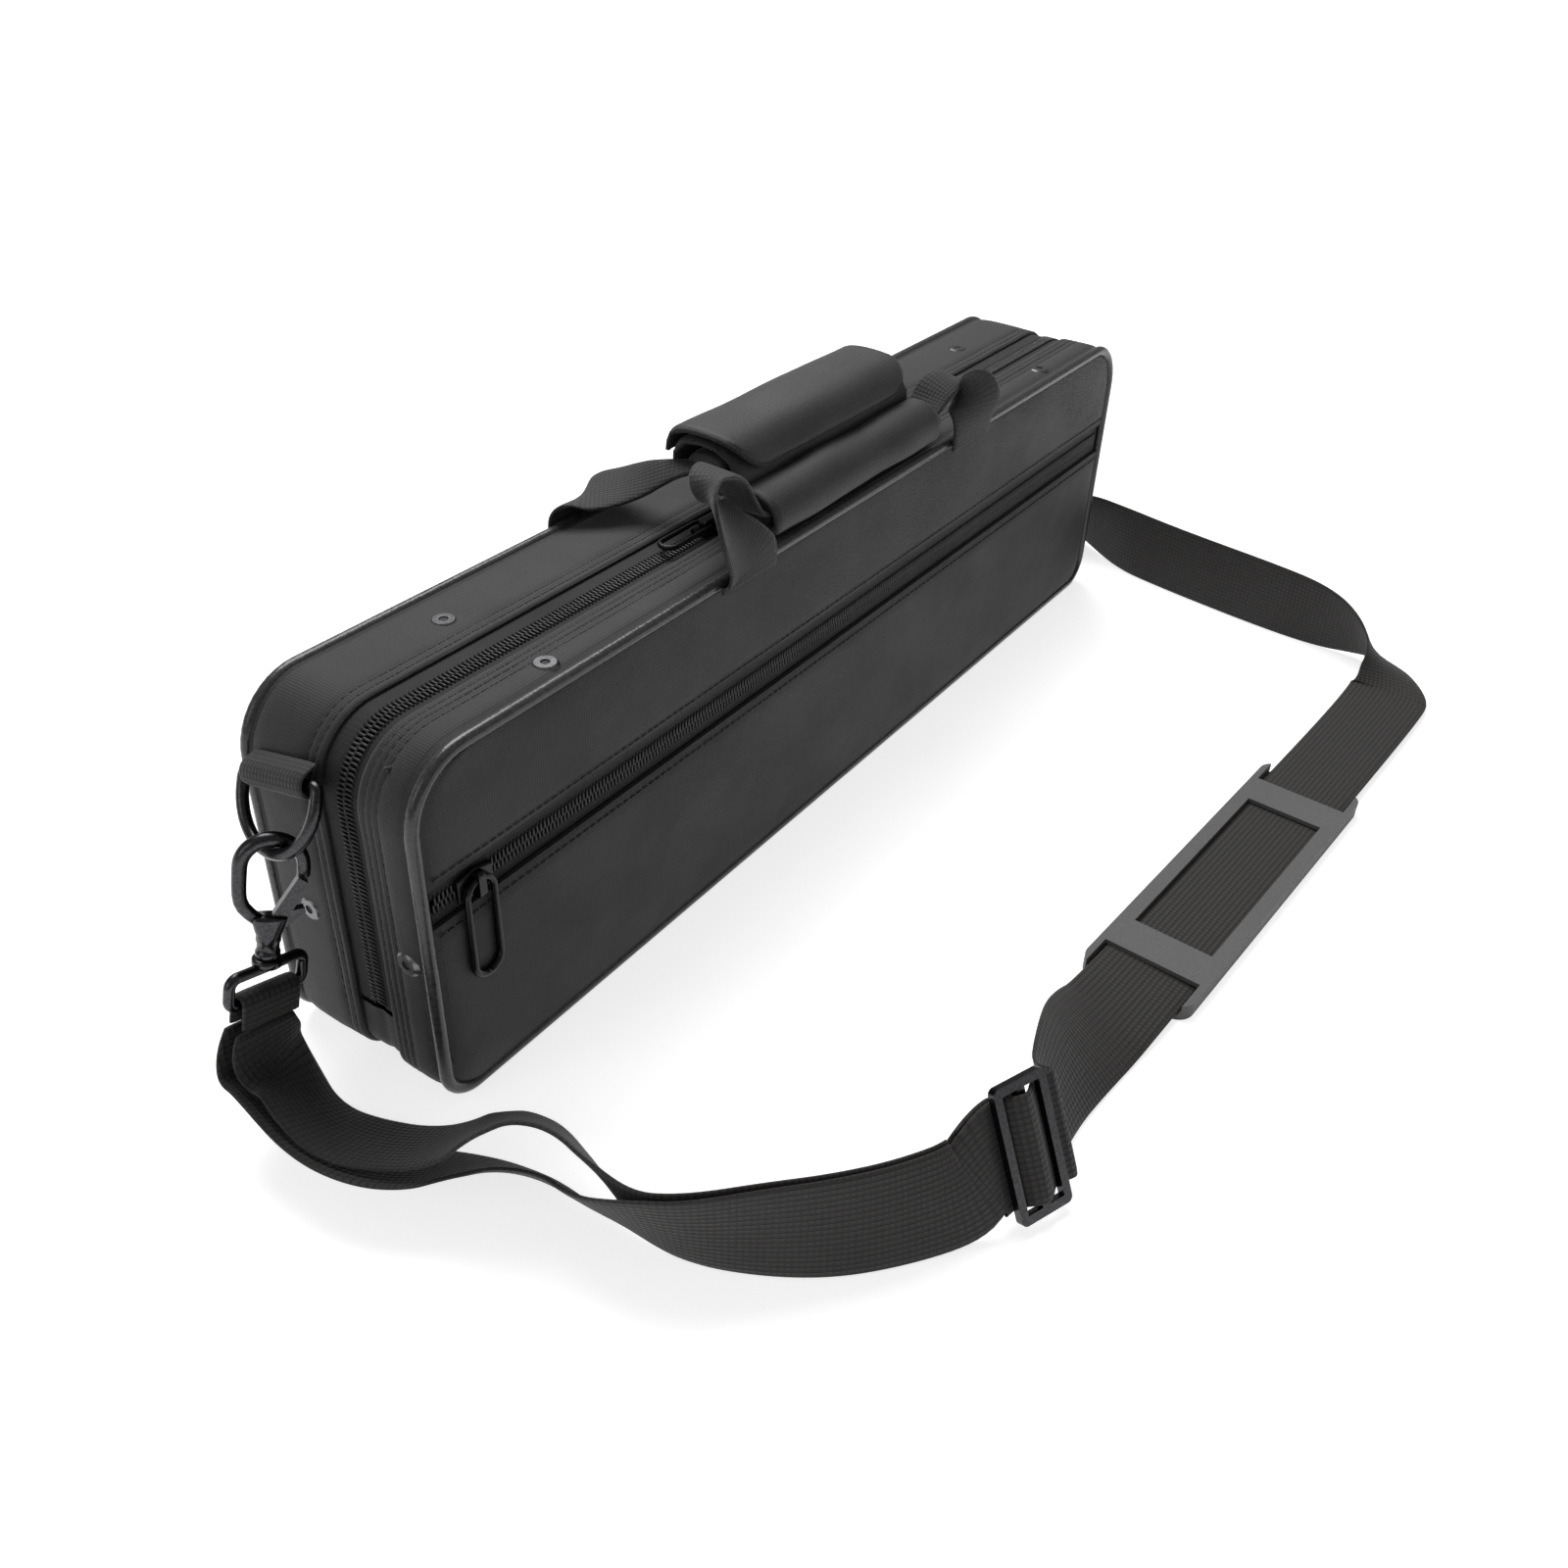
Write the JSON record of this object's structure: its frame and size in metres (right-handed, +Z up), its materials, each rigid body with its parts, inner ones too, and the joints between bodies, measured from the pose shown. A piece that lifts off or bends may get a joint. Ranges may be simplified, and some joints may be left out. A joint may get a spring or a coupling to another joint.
{
  "type": "flute case",
  "caption": "Soft rectangular instrument case with piped edges, a two-slider zipper, a zipped front pocket, padded web handles and a shoulder strap on swivel hooks",
  "frame": {"origin": "bottom centre of the case: on the plane it stands on, midway between its ends and its faces", "axes": "+X along the case towards the right end as the pocket is faced, -Y out of the pocket face, +Z up from the hinge edge to the handles"},
  "size_m": [0.5093, 0.2381, 0.1465],
  "materials": {
    "case_cloth": "coated woven nylon",
    "piping": "satin cord",
    "zipper_tape": "woven",
    "zipper_teeth": "moulded",
    "black_metal": "gloss black",
    "hardware": "gunmetal",
    "plush": "short pile",
    "webbing": "woven webbing",
    "grip_cloth": "padded cloth",
    "pad_rubber": "matt"
  },
  "bodies": {
    "base": {"back_shell": "case_cloth", "back_piping": "piping", "hinge_tape": "zipper_tape", "back_zipper_tape": "zipper_tape", "back_zipper_teeth": "zipper_teeth", "back_rivets": "black_metal", "flute_tray": "plush", "back_handle_web": "webbing", "back_grip_roll": "grip_cloth", "strap_main": "webbing", "strap_tail": "webbing", "tri_glide": "hardware", "ring_tab_left": "webbing", "ring_tab_right": "webbing"},
    "lid": {"front_shell": "case_cloth", "front_piping": "piping", "upper_front_panel": "case_cloth", "pocket_panel": "case_cloth", "front_zipper_tape": "zipper_tape", "front_zipper_teeth": "zipper_teeth", "upper_pocket_tape": "zipper_tape", "lower_pocket_tape": "zipper_tape", "upper_pocket_teeth": "zipper_teeth", "lower_pocket_teeth": "zipper_teeth", "front_rivets": "black_metal", "lid_pad": "plush", "front_handle_web": "webbing", "front_grip_roll": "grip_cloth"},
    "left_slider": {"left_zip_slider": "black_metal"},
    "right_slider": {"right_zip_slider": "black_metal"},
    "left_pull": {"left_zip_pull": "black_metal"},
    "right_pull": {"right_zip_pull": "black_metal"},
    "pocket_slider": {"pocket_zip_slider": "black_metal"},
    "pocket_pull": {"pocket_zip_pull": "black_metal"},
    "flap": {"grip_flap": "grip_cloth"},
    "pad": {"shoulder_pad": "pad_rubber"},
    "ring_left": {"d_ring_left": "hardware"},
    "hook_left": {"snap_hook_left": "hardware"},
    "gate_left": {"hook_gate_left": "hardware"},
    "eye_left": {"swivel_eye_left": "hardware", "strap_loop_left": "webbing"},
    "ring_right": {"d_ring_right": "hardware"},
    "hook_right": {"snap_hook_right": "hardware"},
    "gate_right": {"hook_gate_right": "hardware"},
    "eye_right": {"swivel_eye_right": "hardware", "strap_loop_right": "webbing"}
  },
  "joints": [
    {"name": "lid_hinge", "type": "hinge", "parent": "base", "child": "lid", "pos_m": [0, -0.007, 0], "axis": [1, 0, 0], "range_deg": [0, 180], "deforming": ["hinge_tape"]},
    {"name": "left_slider_slide", "type": "slide", "parent": "base", "child": "left_slider", "axis": [-1, 0, 0], "range_m": [0, 0.11], "deforming": ["back_zipper_teeth"]},
    {"name": "right_slider_slide", "type": "slide", "parent": "base", "child": "right_slider", "axis": [1, 0, 0], "range_m": [0, 0.2], "deforming": ["front_zipper_teeth"]},
    {"name": "left_pull_hinge", "type": "hinge", "parent": "left_slider", "child": "left_pull", "pos_m": [-0.05512, -0.007, 0.1194], "axis": [0, 1, 0], "range_deg": [0, 35]},
    {"name": "right_pull_hinge", "type": "hinge", "parent": "right_slider", "child": "right_pull", "pos_m": [-0.03652, -0.007, 0.1194], "axis": [0, -1, 0], "range_deg": [0, 15]},
    {"name": "pocket_slider_slide", "type": "slide", "parent": "lid", "child": "pocket_slider", "axis": [1, 0, 0], "range_m": [0, 0.375], "deforming": ["upper_pocket_teeth", "lower_pocket_teeth"]},
    {"name": "pocket_pull_hinge", "type": "hinge", "parent": "pocket_slider", "child": "pocket_pull", "pos_m": [-0.19, -0.0337, 0.0741], "axis": [-1, 0, 0], "range_deg": [0, 110]},
    {"name": "flap_hinge", "type": "hinge", "parent": "base", "child": "flap", "pos_m": [0, 0.0115, 0.1396], "axis": [-1, 0, 0], "range_deg": [0, 150]},
    {"name": "pad_slide", "type": "slide", "parent": "base", "child": "pad", "axis": [0.9977, -0.0681, 0], "range_m": [0, 0.07]},
    {"name": "ring_swing_left", "type": "hinge", "parent": "base", "child": "ring_left", "pos_m": [-0.21255, 0.012, 0.1], "axis": [0, 0.9744, -0.225], "range_deg": [-3, 60]},
    {"name": "hook_swing_left", "type": "hinge", "parent": "ring_left", "child": "hook_left", "pos_m": [-0.22194, 0.00803, 0.08279], "axis": [0, 1, 0], "range_deg": [-5, 60], "deforming": ["strap_tail"]},
    {"name": "gate_hinge_left", "type": "hinge", "parent": "hook_left", "child": "gate_left", "pos_m": [-0.22501, 0.00654, 0.06312], "axis": [-0.554, -0.8192, 0.1485], "range_deg": [0, 20], "stiffness_Nm_per_rad": 0.02},
    {"name": "eye_swivel_left", "type": "hinge", "parent": "hook_left", "child": "eye_left", "pos_m": [-0.22194, 0.00803, 0.08279], "axis": [0.2588, 0, 0.9659], "continuous": true},
    {"name": "ring_swing_right", "type": "hinge", "parent": "base", "child": "ring_right", "pos_m": [0.21255, 0.012, 0.1], "axis": [0, -0.9744, 0.225], "range_deg": [-3, 60]},
    {"name": "hook_swing_right", "type": "hinge", "parent": "ring_right", "child": "hook_right", "pos_m": [0.22194, 0.00803, 0.08279], "axis": [0, -1, 0], "range_deg": [-5, 60], "deforming": ["strap_main"]},
    {"name": "gate_hinge_right", "type": "hinge", "parent": "hook_right", "child": "gate_right", "pos_m": [0.22501, 0.00654, 0.06312], "axis": [-0.554, 0.8192, -0.1485], "range_deg": [0, 20], "stiffness_Nm_per_rad": 0.02},
    {"name": "eye_swivel_right", "type": "hinge", "parent": "hook_right", "child": "eye_right", "pos_m": [0.22194, 0.00803, 0.08279], "axis": [-0.2588, 0, 0.9659], "continuous": true}
  ]
}
